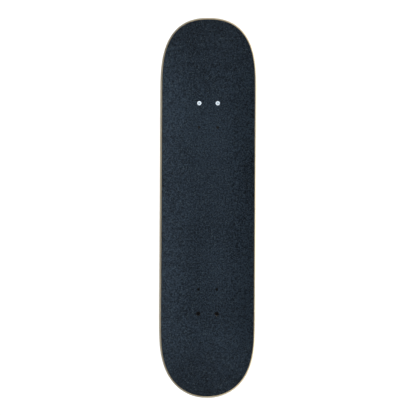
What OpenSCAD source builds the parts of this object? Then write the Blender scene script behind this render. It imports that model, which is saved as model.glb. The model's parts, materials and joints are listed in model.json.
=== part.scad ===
// Street skateboard: a seven-ply kicked deck on two kingpin trucks with four wheels.
// Millimetres, +Z up. The nose points along +Y and a rider facing it has their left at -X.
// The origin is on the ground, under the middle of the overall length and width.

/* [Deck] */
// Overall length, tip to tip
deck_length = 816; // [760:1:860]
// Overall width at the widest line of the rails
deck_width = 215.9; // [195:0.1:235]
// Thickness of one veneer
ply_thickness = 1.5; // [1.2:0.05:1.8]
// Number of veneers pressed together
ply_count = 7; // [5, 7, 9]
// Distance between the inner bolt rows of the two trucks
wheelbase = 361.95; // [330:0.05:390]
// Distance from the nose's outer bolt row to the nose tip
nose_length = 174; // [160:1:190]
// Rise of the rails above the flat centre
concave_depth = 11; // [5:0.5:16]
// Width of the flat strip along the middle
flat_width = 60; // [58:1:90]
// Distance from the outer bolt rows to the start of each kick
kick_gap = 13; // [8:1:20]
// Radius of the bend between the flat and a kick
kick_radius = 115; // [80:1:160]
// Angle of the nose kick
nose_angle = 20.5; // [14:0.5:26]
// Angle of the tail kick
tail_angle = 20; // [14:0.5:26]
// Length over which each end rounds off to its tip
taper_length = 178; // [150:1:200]
// Shoulder exponent of the outline, larger is squarer
shoulder_fullness = 3.3; // [2.4:0.1:4]
// Tip exponent of the nose, larger is blunter
nose_fullness = 2.4; // [2:0.1:3]
// Tip exponent of the tail, larger is blunter
tail_fullness = 2.1; // [2:0.1:3]
// Rounding of the deck's edge
edge_radius = 2.5; // [1.5:0.1:3]

/* [Grip tape] */
// Thickness of the abrasive sheet
grip_thickness = 0.7; // [0.5:0.1:1.2]
// Radius of the tape's opening over a fully bare bolt head
grip_opening_bare = 5.1; // [5:0.1:6]
// Radius of the tape's opening over a half covered bolt head
grip_opening_covered = 3.1; // [2.5:0.1:4.5]

/* [Truck bolts] */
// Spacing of the bolts across the board
bolt_spacing_across = 41.275; // [38:0.005:44]
// Spacing of the bolts along the board
bolt_spacing_along = 53.975; // [50:0.005:66]
// Shank diameter
bolt_diameter = 4.8; // [4:0.1:5]
// Length with the head
bolt_length = 25.4; // [25:0.1:38]
// Diameter of the flat head
bolt_head_diameter = 9.6; // [8.5:0.1:9.8]
// Depth of the head's cone
bolt_head_depth = 2.8; // [2:0.1:3.2]
// Lock nut size across its flats
lock_nut_flats = 9.5; // [8:0.1:10]
// Lock nut height
lock_nut_height = 6; // [4:0.1:7]

/* [Truck] */
// Baseplate length along the board
baseplate_length = 82; // [76:1:90]
// Baseplate width
baseplate_width = 57; // [55:1:58]
// Baseplate thickness
baseplate_thickness = 6.5; // [5:0.1:8]
// Depth of the axle's centre below the deck
axle_drop = 53.5; // [51:0.5:58]
// Place of the axle along the truck, positive towards the middle of the board
axle_offset = -1; // [-4:0.5:2]
// Hanger width, between the faces that the wheels' washers bear on
hanger_width = 149; // [129:1:169]
// Axle diameter
axle_diameter = 7.94; // [7.9:0.01:7.96]
// Length of thread that stands out of each axle nut
axle_stub = 0.4; // [0:0.1:3]
// Lean of the kingpin from upright
kingpin_tilt = 26; // [20:1:30]
// Place of the kingpin's axis where it meets the deck, positive towards the middle
kingpin_offset = 6; // [4:0.5:8]
// Kingpin diameter
kingpin_diameter = 9.5; // [8:0.1:10]
// Distance from the deck to the kingpin's seat, along the kingpin
seat_depth = 16; // [15:0.5:18]
// Height of the bushing on the board's side
boardside_bushing_height = 14; // [12:0.5:16]
// Height of the bushing on the road's side
roadside_bushing_height = 12; // [10:0.5:14]
// Diameter of both bushings where they meet the hanger
bushing_diameter = 24; // [22:0.5:26]
// Distance from the ring's centre to the pivot's centre
pivot_reach = 46; // [44:0.5:48]
// Radius of the ball on the hanger's pivot
pivot_ball_radius = 5.2; // [4.5:0.1:5.6]

/* [Wheels] */
// Wheel diameter
wheel_diameter = 54; // [50:0.5:58]
// Wheel width over its faces
wheel_width = 32; // [29:0.5:36]
// Width of the tread that rolls on the ground
tread_width = 21; // [16:0.5:26]
// Axle nut size across its flats
axle_nut_flats = 12.7; // [12:0.1:13]
// Axle nut height
axle_nut_height = 7; // [5:0.1:8]
// Thickness of a speed washer
speed_washer_thickness = 1; // [0.6:0.1:1.4]

/* [Bearings] */
// Outer diameter of a bearing
bearing_outer_diameter = 22; // [22:0.5:24]
// Bore of a bearing
bearing_bore = 8; // [8:0.01:8.1]
// Width of a bearing
bearing_width = 7; // [7:0.5:8]
// Diameter of the circle on which the balls run
ball_circle = 15; // [14.8:0.1:15.2]
// Diameter of a ball
ball_diameter = 3.97; // [3.9:0.01:4]
// Balls in one bearing
ball_count = 7; // [7, 8]
// Length of the spacer between a wheel's two bearings
spacer_length = 10; // [8:0.5:12]

/* [Hidden] */
ENDS = ["front", "rear"];
SIDES = ["left", "right"];
TRUCK_PIECES = [
    "baseplate", "pivot_cup", "kingpin", "kingpin_nut",
    "boardside_washer", "boardside_bushing", "roadside_bushing", "roadside_washer",
    "hanger", "axle", "axle_nuts", "speed_washers"
];
WHEEL_PIECES = [
    "wheel", "bearing_outer_rings", "bearing_balls", "bearing_cages",
    "bearing_shields", "bearing_inner_rings", "bearing_spacer"
];

$fn = 48;
running_gap = 0.05;   // radial play of a bolt, nut thread or axle in its hole
ball_gap = 0.065;     // play between a ball and its race
small = 0.01;         // overrun of a cut through a face

// Heights
wheel_radius = wheel_diameter / 2;
deck_bottom = wheel_radius + axle_drop;
deck_thickness = ply_thickness * ply_count;
deck_top = deck_bottom + deck_thickness;

// Places along the board
half_length = deck_length / 2;
front_truck_y = half_length - nose_length - bolt_spacing_along / 2;
rear_truck_y = front_truck_y - wheelbase - bolt_spacing_along;
nose_kick_y = front_truck_y + bolt_spacing_along / 2 + kick_gap;
tail_kick_y = -(rear_truck_y - bolt_spacing_along / 2 - kick_gap);
taper_y = half_length - taper_length;

// Kingpin stack, each a distance from the deck along the kingpin
bushing_socket = 2;                 // depth of the hanger ring's recess for a bushing
ring_web = 9;                       // hanger ring's thickness between the bushings
boardside_washer_thickness = 2;
roadside_washer_thickness = 1.8;
washer_lip = 1.5;                   // how far a washer's rim reaches over its bushing
kingpin_nut_flats = 14.3;
kingpin_nut_height = 9.5;
kingpin_head_top = 4.8;
kingpin_head_bottom = seat_depth - 6;
boardside_bushing_start = seat_depth + boardside_washer_thickness;
ring_web_start = boardside_bushing_start + boardside_bushing_height;
ring_centre = ring_web_start + ring_web / 2;
roadside_bushing_start = ring_web_start + ring_web;
roadside_washer_start = roadside_bushing_start + roadside_bushing_height;
kingpin_nut_start = roadside_washer_start + roadside_washer_thickness;
kingpin_end = kingpin_nut_start + kingpin_nut_height + 1.8;
kingpin_radius = kingpin_diameter / 2;
bushing_radius = bushing_diameter / 2;
roadside_bushing_tip_radius = bushing_radius - 2.5;
ring_radius = bushing_radius + 5.5;
boss_radius = bushing_radius + 2;

// Pivot, in the truck's own Y and Z: the steering axis is square to the kingpin
ring_y = kingpin_offset + ring_centre * sin(kingpin_tilt);
ring_z = -ring_centre * cos(kingpin_tilt);
pivot_y = ring_y - pivot_reach * cos(kingpin_tilt);
pivot_z = ring_z + pivot_reach * sin(kingpin_tilt);
pivot_tilt = 40;                    // lean of the pivot stem from upright
pivot_gap = 0.1;                    // play of the ball in its cup
cup_radius = pivot_ball_radius + 2.8;
cup_back = pivot_ball_radius + 2.2; // from the ball's centre to the cup's closed end
cup_mouth = 3;                      // from the ball's centre to the cup's open end
cup_lip = 0.5;                      // how far the cup stands out of its housing
housing_wall = 3;

// Hanger
beam_radius = 11.5;
beam_end_radius = 8.2;
beam_shoulder = 20;                 // half the length of the beam's thick middle

// Wheel stack along the axle, each a distance from the middle of the board
axle_radius = axle_diameter / 2;
bearing_radius = bearing_outer_diameter / 2;
inner_bearing_x = hanger_width / 2 + speed_washer_thickness;
outer_bearing_x = inner_bearing_x + bearing_width + spacer_length;
outer_washer_x = outer_bearing_x + bearing_width;
axle_nut_x = outer_washer_x + speed_washer_thickness;
axle_half_length = axle_nut_x + axle_nut_height + axle_stub;
wheel_x = inner_bearing_x + bearing_width + spacer_length / 2;
race_radius = ball_diameter / 2 + ball_gap;
bearing_face = spacer_length / 2 + bearing_width;   // from the wheel's middle plane
core_lip = 0.8;                     // how far the wheel's core stands past its bearings
shield_thickness = 0.4;
shield_depth = 0.3;                 // from the bearing's face to the shield
shoulder_radius = ball_circle / 2 + 1.5;            // the outer ring's inside
inner_ring_radius = ball_circle / 2 - 1.4;          // the inner ring's outside
shield_seat_radius = shoulder_radius + 0.7;

// ---------------------------------------------------------------- deck surface

// Height and slope that a kick of the given angle adds at a distance past its start
function kick_rise(distance, angle) =
    let (bend = kick_radius * sin(angle))
    distance <= 0 ? 0 :
    distance < bend ? kick_radius - sqrt(pow(kick_radius, 2) - pow(distance, 2)) :
    kick_radius * (1 - cos(angle)) + (distance - bend) * tan(angle);

// How much of the concave is left at y: all of it between the kicks, under half at a tip
function concave_share(y) =
    let (start = y > 0 ? nose_kick_y : tail_kick_y,
         t = max(0, min(1, (abs(y) - start) / (half_length - start))))
    1 - 0.55 * t * t * (3 - 2 * t);

function concave_rise(x) =
    concave_depth * pow(max(0, (abs(x) - flat_width / 2) / (deck_width / 2 - flat_width / 2)), 2);

function deck_rise(x, y) =
    (y > 0 ? kick_rise(y - nose_kick_y, nose_angle) : kick_rise(-y - tail_kick_y, tail_angle))
    + concave_rise(x) * concave_share(y);

// Upward normal of the deck at a point
function deck_normal(x, y) =
    let (step = 0.05,
         slope_x = (deck_rise(x + step, y) - deck_rise(x - step, y)) / (2 * step),
         slope_y = (deck_rise(x, y + step) - deck_rise(x, y - step)) / (2 * step),
         up = [-slope_x, -slope_y, 1])
    up / norm(up);

// A point of the deck at a height through its thickness, measured square to the surface
function deck_point(x, y, height) =
    [x, y, deck_bottom + edge_radius + deck_rise(x, y)] + (height - edge_radius) * deck_normal(x, y);

// Half width of the outline at y, from a superellipse at each end
function outline_half_width(y) =
    let (t = max(0, (abs(y) - taper_y) / taper_length),
         fullness = y > 0 ? nose_fullness : tail_fullness)
    deck_width / 2 * pow(max(0, 1 - pow(t, shoulder_fullness)), 1 / fullness);

// The outline's point at y, moved inwards, square to the outline
function outline_point(y, inset) =
    let (x = outline_half_width(y),
         t = max(0, (abs(y) - taper_y) / taper_length),
         fullness = y > 0 ? nose_fullness : tail_fullness,
         out_x = fullness * pow(x / (deck_width / 2), fullness - 1) / (deck_width / 2),
         out_y = sign(y) * shoulder_fullness * pow(t, shoulder_fullness - 1) / taper_length,
         out = [out_x, out_y] / norm([out_x, out_y]))
    [max(0, x - inset * out[0]), y - inset * out[1]];

// Stations from the nose tip to the tail tip, closer together towards the tips
end_stations = 20;
middle_stations = 4;
STATIONS = concat(
    [for (i = [end_stations : -1 : 1]) taper_y + taper_length * sin(90 * i / end_stations)],
    [for (i = [0 : middle_stations]) taper_y * (1 - 2 * i / middle_stations)],
    [for (i = [1 : end_stations]) -taper_y - taper_length * sin(90 * i / end_stations)]
);
station_count = len(STATIONS);
loop_count = 2 * station_count - 2;
// Columns across the deck, as shares of the half width: the inner pair bounds the flat strip
flat_share = 0.88 * flat_width / deck_width;
COLUMNS = [-1, -0.86, -0.72, -0.57, -0.42, -flat_share, 0, flat_share, 0.42, 0.57, 0.72, 0.86, 1];
column_count = len(COLUMNS);

// A closed loop of points down the right rail and back up the left one
function rail_loop(inset, height) = concat(
    [for (i = [0 : station_count - 1])
        let (p = outline_point(STATIONS[i], inset)) deck_point(p[0], p[1], height)],
    [for (i = [station_count - 2 : -1 : 1])
        let (p = outline_point(STATIONS[i], inset)) deck_point(-p[0], p[1], height)]
);

// Points inside a loop, row by row, without the two rails
function inner_grid(inset, height) = [
    for (i = [1 : station_count - 2])
        let (p = outline_point(STATIONS[i], inset))
        for (c = [1 : column_count - 2]) deck_point(p[0] * COLUMNS[c], p[1], height)
];

// Index of a grid point whose loop starts at `loop` and whose inner points start at `inner`
function grid_index(row, column, loop, inner) =
    row == 0 ? loop :
    row == station_count - 1 ? loop + station_count - 1 :
    column == column_count - 1 ? loop + row :
    column == 0 ? loop + loop_count - row :
    inner + (row - 1) * (column_count - 2) + column - 1;

// Triangles of a face over the grid; `flip` turns them to look down
function grid_faces(loop, inner, flip) = [
    for (row = [0 : station_count - 2]) for (c = [0 : column_count - 2])
        let (a = grid_index(row, c, loop, inner),
             b = grid_index(row, c + 1, loop, inner),
             d = grid_index(row + 1, c, loop, inner),
             e = grid_index(row + 1, c + 1, loop, inner))
        for (face = [[a, b, e], [a, e, d]])
            if (face[0] != face[1] && face[1] != face[2] && face[0] != face[2])
                flip ? [face[2], face[1], face[0]] : face
];

// Triangles between a loop and the one after it, from the lower to the upper
function band_faces(lower, upper) = [
    for (i = [0 : loop_count - 1])
        let (j = (i + 1) % loop_count)
        for (face = [[lower + i, upper + j, lower + j], [lower + i, upper + i, upper + j]]) face
];

// A sheet of the deck's shape between rail profiles, each an [inset, height], from its lower
// face to its upper one
module deck_sheet(profile) {
    last = len(profile) - 1;
    loops = [for (p = profile) rail_loop(p[0], p[1])];
    lower_inner = len(profile) * loop_count;
    inner_count = (station_count - 2) * (column_count - 2);
    points = concat(
        [for (loop = loops) for (p = loop) p],
        inner_grid(profile[0][0], profile[0][1]),
        inner_grid(profile[last][0], profile[last][1])
    );
    faces = concat(
        grid_faces(0, lower_inner, true),
        grid_faces(last * loop_count, lower_inner + inner_count, false),
        [for (k = [0 : last - 1]) for (f = band_faces(k * loop_count, (k + 1) * loop_count)) f]
    );
    polyhedron(points = points, faces = faces, convexity = 6);
}

// The rounded edge in three points for each corner
function edge_profile(radius, thickness) = concat(
    [for (a = [0, 45, 90]) [radius * (1 - sin(a)), radius * (1 - cos(a))]],
    [for (a = [90, 45, 0]) [radius * (1 - sin(a)), thickness - radius * (1 - cos(a))]]
);

// Places of the four bolts of one row, or of all rows
module at_bolts(truck_y, rows = [-1, 1]) {
    for (row = rows, side = [-1, 1])
        translate([side * bolt_spacing_across / 2, truck_y + row * bolt_spacing_along / 2, 0])
            children();
}

// The head's cone with its top at z = 0, grown by a gap
module bolt_head_cone(gap) {
    translate([0, 0, -bolt_head_depth - gap])
        cylinder(r1 = bolt_diameter / 2, r2 = bolt_head_diameter / 2 + gap, h = bolt_head_depth + gap);
}

module bolt_hole() {
    translate([0, 0, deck_bottom - 1])
        cylinder(d = bolt_diameter + 4 * running_gap, h = deck_thickness + 2);
    translate([0, 0, deck_top + small]) bolt_head_cone(running_gap);
}

module deck() {
    color("burlywood")
        difference() {
            deck_sheet(edge_profile(edge_radius, deck_thickness));
            at_bolts(front_truck_y) bolt_hole();
            at_bolts(rear_truck_y) bolt_hole();
        }
}

module grip_opening(radius) {
    translate([0, 0, deck_top - 1]) cylinder(r = radius, h = grip_thickness + 2);
}

module grip_tape() {
    color("#28323c")
        difference() {
            deck_sheet([[edge_radius, deck_thickness],
                        [edge_radius, deck_thickness + grip_thickness]]);
            at_bolts(front_truck_y, [1]) grip_opening(grip_opening_bare);
            at_bolts(rear_truck_y, [-1]) grip_opening(grip_opening_bare);
            at_bolts(front_truck_y, [-1]) grip_opening(grip_opening_covered);
            at_bolts(rear_truck_y, [1]) grip_opening(grip_opening_covered);
        }
}

// ---------------------------------------------------------------- fasteners

// Cross recess, cut down from z = 0
module cross_recess() {
    slot_length = 0.52 * bolt_head_diameter;
    slot_width = 1.1;
    slot_depth = 0.65 * bolt_head_depth;
    for (turn = [0, 90])
        rotate([0, 0, turn])
            translate([-slot_length / 2, -slot_width / 2, -slot_depth])
                cube([slot_length, slot_width, slot_depth + 1]);
}

// Countersunk bolt, its head's face at z = 0
module flat_head_bolt() {
    difference() {
        union() {
            bolt_head_cone(0);
            translate([0, 0, -bolt_length]) cylinder(d = bolt_diameter, h = bolt_length - small);
        }
        cross_recess();
    }
}

module bolts(truck_y, rows, tint) {
    color(tint)
        at_bolts(truck_y, rows) translate([0, 0, deck_top]) flat_head_bolt();
}

// Hexagonal lock nut with a rounded collar: bears on z = 0 and stands up from it
module lock_nut(flats, height, thread) {
    corner_radius = flats / 2 / cos(30);
    collar_height = 0.28 * height;
    difference() {
        union() {
            cylinder(r = corner_radius, h = height - collar_height, $fn = 6);
            cylinder(d = 0.92 * flats, h = height);
        }
        translate([0, 0, -1]) cylinder(d = thread + 2 * running_gap, h = height + 2);
    }
}

module lock_nuts(truck_y) {
    color("dimgray")
        at_bolts(truck_y)
            translate([0, 0, deck_bottom - baseplate_thickness])
                mirror([0, 0, 1])
                    lock_nut(lock_nut_flats, lock_nut_height, bolt_diameter);
}

// ---------------------------------------------------------------- truck

// The truck's own frame: z = 0 on the deck's underside, +Y towards the middle of the board
module at_truck(end) {
    if (end == "front")
        translate([0, front_truck_y, deck_bottom]) rotate([0, 0, 180]) children();
    else
        translate([0, rear_truck_y, deck_bottom]) children();
}

// Z along the kingpin, away from the deck, from where its axis meets the deck
module on_kingpin() {
    translate([0, kingpin_offset, 0]) rotate([180 + kingpin_tilt, 0, 0]) children();
}

// Z along the pivot stem, from the ball's centre into the hanger
module on_pivot() {
    translate([0, pivot_y, pivot_z]) rotate([180 + pivot_tilt, 0, 0]) children();
}

// Z along the axle, from the middle of the board outwards to either side
module on_axle() {
    translate([0, axle_offset, -axle_drop]) rotate([0, 90, 0]) children();
}

module rounded_plate(length, width, thickness, corner) {
    linear_extrude(height = thickness)
        union() {
            square([width - 2 * corner, length], center = true);
            square([width, length - 2 * corner], center = true);
            for (x = [-1, 1], y = [-1, 1])
                translate([x * (width / 2 - corner), y * (length / 2 - corner)]) circle(r = corner);
        }
}

// Cuts away what stands above the deck's underside
module below_deck() {
    reach = 2 * baseplate_length;
    difference() {
        children();
        translate([-reach / 2, -reach / 2, 0]) cube([reach, reach, reach]);
    }
}

// Two ribs under the plate that tie the kingpin's boss to the pivot's housing
module baseplate_ribs() {
    rib_width = 5;
    rib_height = 5;
    rib_spacing = 17;
    rib_length = kingpin_offset - pivot_y + 4;
    for (side = [-1, 1])
        translate([side * rib_spacing / 2 - rib_width / 2, pivot_y, -baseplate_thickness - rib_height])
            cube([rib_width, rib_length, rib_height + 1]);
}

module baseplate() {
    plate_corner = 9;
    head_room_radius = kingpin_nut_flats / 2 / cos(30) + 0.4;
    above = kingpin_nut_flats;          // how far the kingpin's cuts start above the deck line
    bolt_hole_diameter = bolt_diameter + 8 * running_gap;
    color("silver")
        difference() {
            below_deck() union() {
                translate([0, 0, -baseplate_thickness])
                    rounded_plate(baseplate_length, baseplate_width, baseplate_thickness, plate_corner);
                on_kingpin() cylinder(r = boss_radius, h = seat_depth);
                on_pivot() translate([0, 0, -cup_back - housing_wall])
                    cylinder(r = cup_radius + housing_wall,
                             h = housing_wall + cup_back + cup_mouth - cup_lip);
                baseplate_ribs();
            }
            on_kingpin() translate([0, 0, -above]) {
                cylinder(r = kingpin_radius + running_gap, h = above + seat_depth + 1);
                cylinder(r = head_room_radius, h = above + kingpin_head_bottom);
            }
            on_pivot() translate([0, 0, -cup_back])
                cylinder(r = cup_radius, h = cup_back + cup_mouth + 1);
            at_bolts(0) translate([0, 0, -baseplate_thickness - 1])
                cylinder(d = bolt_hole_diameter, h = baseplate_thickness + 2);
        }
}

// Moulded cup that the hanger's ball turns in
module pivot_cup() {
    color("black")
        on_pivot() difference() {
            translate([0, 0, -cup_back]) cylinder(r = cup_radius, h = cup_back + cup_mouth);
            sphere(r = pivot_ball_radius + pivot_gap);
            cylinder(r1 = pivot_ball_radius + pivot_gap, r2 = cup_radius - 1, h = cup_mouth + small);
        }
}

module kingpin() {
    chamfer = 0.8;
    color("dimgray")
        on_kingpin() {
            translate([0, 0, kingpin_head_top])
                cylinder(d = kingpin_nut_flats / cos(30), h = kingpin_head_bottom - kingpin_head_top, $fn = 6);
            translate([0, 0, kingpin_head_bottom - small])
                cylinder(r = kingpin_radius, h = kingpin_end - chamfer - kingpin_head_bottom + small);
            translate([0, 0, kingpin_end - chamfer])
                cylinder(r1 = kingpin_radius, r2 = kingpin_radius - chamfer, h = chamfer);
        }
}

module kingpin_nut() {
    color("silver")
        on_kingpin() translate([0, 0, kingpin_nut_start])
            lock_nut(kingpin_nut_flats, kingpin_nut_height, kingpin_diameter);
}

// Cupped washer: its flat back at z = 0 and its rim around a bushing of the given radius
module cupped_washer(inside_radius, thickness) {
    rim_wall = 1.5;
    difference() {
        cylinder(r = inside_radius + rim_wall, h = thickness + washer_lip);
        translate([0, 0, thickness]) cylinder(r = inside_radius + running_gap, h = washer_lip + 1);
        translate([0, 0, -1]) cylinder(r = kingpin_radius + 2 * running_gap, h = thickness + 2);
    }
}

module boardside_washer() {
    color("gainsboro")
        on_kingpin() translate([0, 0, seat_depth])
            cupped_washer(bushing_radius, boardside_washer_thickness);
}

module roadside_washer() {
    cone_growth = (bushing_radius - roadside_bushing_tip_radius) / roadside_bushing_height;
    radius_at_rim = roadside_bushing_tip_radius + washer_lip * cone_growth;
    color("gainsboro")
        on_kingpin() translate([0, 0, kingpin_nut_start])
            mirror([0, 0, 1]) cupped_washer(radius_at_rim, roadside_washer_thickness);
}

module bushing(radius_start, radius_end, height) {
    difference() {
        cylinder(r1 = radius_start, r2 = radius_end, h = height);
        translate([0, 0, -1]) cylinder(r = kingpin_radius + 3 * running_gap, h = height + 2);
    }
}

module boardside_bushing() {
    color("white")
        on_kingpin() translate([0, 0, boardside_bushing_start])
            bushing(bushing_radius, bushing_radius, boardside_bushing_height);
}

module roadside_bushing() {
    color("white")
        on_kingpin() translate([0, 0, roadside_bushing_start])
            bushing(bushing_radius, roadside_bushing_tip_radius, roadside_bushing_height);
}

// Hanger's casting before its bores: ring, beam and pivot stem, joined by two webs
module hanger_body() {
    stem_length = 36;
    stem_foot_radius = 8.5;
    web_start = 20;                     // along the stem
    // Yoke between the ring and the beam
    hull() {
        on_kingpin() translate([0, 0, ring_web_start - bushing_socket + 0.6])
            cylinder(r = ring_radius - 0.6, h = ring_web + 2 * bushing_socket - 1.2, $fn = 32);
        on_axle() cylinder(r = beam_radius - 0.6, h = 1.9 * beam_shoulder, center = true, $fn = 32);
    }
    // Web between the pivot stem and the beam
    hull() {
        on_pivot() translate([0, 0, web_start])
            cylinder(r = stem_foot_radius - 2, h = stem_length - web_start - 1, $fn = 32);
        on_axle() cylinder(r = beam_radius - 2, h = beam_shoulder, center = true, $fn = 32);
    }
    on_kingpin() translate([0, 0, ring_web_start - bushing_socket])
        cylinder(r = ring_radius, h = ring_web + 2 * bushing_socket);
    on_pivot() {
        sphere(r = pivot_ball_radius);
        cylinder(r1 = pivot_ball_radius - 0.2, r2 = stem_foot_radius, h = stem_length);
    }
    on_axle() {
        cylinder(r = beam_radius, h = 2 * beam_shoulder, center = true);
        for (side = [0, 1]) mirror([0, 0, side]) translate([0, 0, beam_shoulder])
            cylinder(r1 = beam_radius, r2 = beam_end_radius, h = hanger_width / 2 - beam_shoulder);
    }
}

// What the kingpin, the bushings and their nut need of the hanger, from the board's side of the
// ring to past the kingpin's end
module ring_cut() {
    hole_radius = kingpin_radius + 3.3;
    recess_radius = bushing_radius + 2 * running_gap;
    room = 15;
    flare = 10;                     // growth of the opening that the nut leans in
    rotate_extrude()
        polygon([
            [0, ring_web_start - room], [recess_radius, ring_web_start - room],
            [recess_radius, ring_web_start], [hole_radius, ring_web_start],
            [hole_radius, roadside_bushing_start], [recess_radius, roadside_bushing_start],
            [recess_radius, roadside_bushing_start + bushing_socket + 0.5],
            [recess_radius + flare, kingpin_end + 8], [0, kingpin_end + 8]
        ]);
}

module hanger() {
    color("silver")
        difference() {
            hanger_body();
            on_kingpin() ring_cut();
            on_axle() cylinder(r = axle_radius + running_gap / 2, h = hanger_width + 2, center = true);
        }
}

module axle() {
    chamfer = 0.6;
    color("gray")
        on_axle() {
            cylinder(r = axle_radius, h = 2 * (axle_half_length - chamfer), center = true);
            for (side = [0, 1]) mirror([0, 0, side]) translate([0, 0, axle_half_length - chamfer])
                cylinder(r1 = axle_radius, r2 = axle_radius - chamfer, h = chamfer);
        }
}

module axle_nuts() {
    color("silver")
        on_axle() for (side = [0, 1]) mirror([0, 0, side]) translate([0, 0, axle_nut_x])
            lock_nut(axle_nut_flats, axle_nut_height, axle_diameter);
}

module speed_washers() {
    washer_radius = axle_radius + 2.4;
    color("gainsboro")
        on_axle() for (side = [0, 1], x = [hanger_width / 2, outer_washer_x])
            mirror([0, 0, side]) translate([0, 0, x])
                difference() {
                    cylinder(r = washer_radius, h = speed_washer_thickness);
                    translate([0, 0, -1])
                        cylinder(r = axle_radius + running_gap, h = speed_washer_thickness + 2);
                }
}

// ---------------------------------------------------------------- wheels

// Z along the axle and outwards, from the middle plane of one wheel
module at_wheel(end, side) {
    truck_y = end == "front" ? front_truck_y - axle_offset : rear_truck_y + axle_offset;
    direction = side == "left" ? -1 : 1;
    translate([direction * wheel_x, truck_y, wheel_radius]) rotate([0, direction * 90, 0]) children();
}

// Z along the axle, from the middle plane of each of a wheel's two bearings
module at_bearings() {
    for (side = [-1, 1]) translate([0, 0, side * (spacer_length + bearing_width) / 2]) children();
}

// Points of an arc about a centre
function arc(centre, radius, from, to, steps = 6) =
    [for (i = [0 : steps]) let (a = from + (to - from) * i / steps)
        centre + radius * [cos(a), sin(a)]];

// Half of the wheel's section, as [radius, height] from its middle plane to its face
function wheel_half_section() =
    let (half = wheel_width / 2,
         lip = (wheel_width - tread_width) / 2,
         core_height = bearing_face + core_lip,
         hub_radius = bearing_radius + 2.6,
         dish_radius = wheel_radius - lip - 3,
         stop_radius = bearing_radius - 2.2)
    concat(
        [[wheel_radius, 0]],
        arc([wheel_radius - lip, half - lip], lip, 0, 90),
        [[dish_radius, half], [hub_radius + 1, core_height + 0.6],
         [hub_radius, core_height], [bearing_radius, core_height],
         [bearing_radius, spacer_length / 2], [stop_radius, spacer_length / 2], [stop_radius, 0]]
    );

module wheel() {
    half_section = wheel_half_section();
    last = len(half_section) - 2;
    other_half = [for (i = [last : -1 : 1]) [half_section[i][0], -half_section[i][1]]];
    color("ivory")
        rotate_extrude($fn = 96) polygon(concat(half_section, other_half));
}

// A ring of rectangular section less the ball track
module raced_ring(inner_radius, outer_radius) {
    rotate_extrude($fn = 96)
        difference() {
            translate([inner_radius, -bearing_width / 2])
                square([outer_radius - inner_radius, bearing_width]);
            translate([ball_circle / 2, 0]) circle(r = race_radius);
        }
}

module bearing_outer_rings() {
    seat_length = shield_depth + shield_thickness;
    color("silver")
        at_bearings() difference() {
            raced_ring(shoulder_radius, bearing_radius);
            for (face = [0, 1]) mirror([0, 0, face])
                translate([0, 0, bearing_width / 2 - seat_length])
                    cylinder(r = shield_seat_radius, h = seat_length + 1);
        }
}

module bearing_inner_rings() {
    color("silver") at_bearings() raced_ring(bearing_bore / 2, inner_ring_radius);
}

module at_balls() {
    for (i = [0 : ball_count - 1])
        rotate([0, 0, 360 * i / ball_count]) translate([ball_circle / 2, 0, 0]) children();
}

module bearing_balls() {
    color("gray") at_bearings() at_balls() sphere(d = ball_diameter);
}

// Crown cages: a rim on one side of the balls with fingers between them
module bearing_cages() {
    half_wall = 0.9;
    finger = 1.4;                       // length past the balls' centres
    rim = 0.55;
    height = finger + race_radius + rim;
    color("black")
        at_bearings() difference() {
            translate([0, 0, -finger]) difference() {
                cylinder(r = ball_circle / 2 + half_wall, h = height);
                translate([0, 0, -1]) cylinder(r = ball_circle / 2 - half_wall, h = height + 2);
            }
            at_balls() sphere(r = race_radius - small);
        }
}

module bearing_shields() {
    shield_gap = 0.25;                  // to the inner ring, which stays still as the wheel turns
    color("black")
        at_bearings() for (face = [0, 1]) mirror([0, 0, face])
            translate([0, 0, bearing_width / 2 - shield_depth - shield_thickness])
                difference() {
                    cylinder(r = shield_seat_radius, h = shield_thickness);
                    translate([0, 0, -1])
                        cylinder(r = inner_ring_radius + shield_gap, h = shield_thickness + 2);
                }
}

module bearing_spacer() {
    spacer_wall = 1.2;
    color("silver")
        difference() {
            cylinder(r = bearing_bore / 2 + spacer_wall, h = spacer_length, center = true);
            cylinder(r = bearing_bore / 2, h = spacer_length + 2, center = true);
        }
}

// ---------------------------------------------------------------- drawing

deck();
grip_tape();
bolts(front_truck_y, [1], "lightsteelblue");  // nose_marker_bolts
bolts(front_truck_y, [-1], "black");  // nose_bolts
bolts(rear_truck_y, [-1, 1], "black");  // tail_bolts
lock_nuts(front_truck_y);  // front_lock_nuts
lock_nuts(rear_truck_y);  // rear_lock_nuts

for (end = ENDS) {
    at_truck(end) baseplate();
    at_truck(end) pivot_cup();
    at_truck(end) kingpin();
    at_truck(end) kingpin_nut();
    at_truck(end) boardside_washer();
    at_truck(end) boardside_bushing();
    at_truck(end) roadside_bushing();
    at_truck(end) roadside_washer();
    at_truck(end) hanger();
    at_truck(end) axle();
    at_truck(end) axle_nuts();
    at_truck(end) speed_washers();
}

for (end = ENDS, side = SIDES) {
    name = str(end, "_", side);
    at_wheel(end, side) wheel();
    at_wheel(end, side) bearing_outer_rings();
    at_wheel(end, side) bearing_balls();
    at_wheel(end, side) bearing_cages();
    at_wheel(end, side) bearing_shields();
    at_wheel(end, side) bearing_inner_rings();
    at_wheel(end, side) bearing_spacer();
}
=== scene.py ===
# %% [markdown]
# # Dressing a street skateboard
#
# The moving frame of this board comes from a CAD model: a pressed deck, two trucks and four
# wheels on ball bearings. This lesson gives it its looks. It remakes the pieces whose finish
# lives in their shape, such as the veneered deck and the cast trucks, and paints every piece
# with a material worked out from formulas.

# %% Load the frame
import json
import math

import bmesh
import bpy
from mathutils import Matrix, Vector

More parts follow.
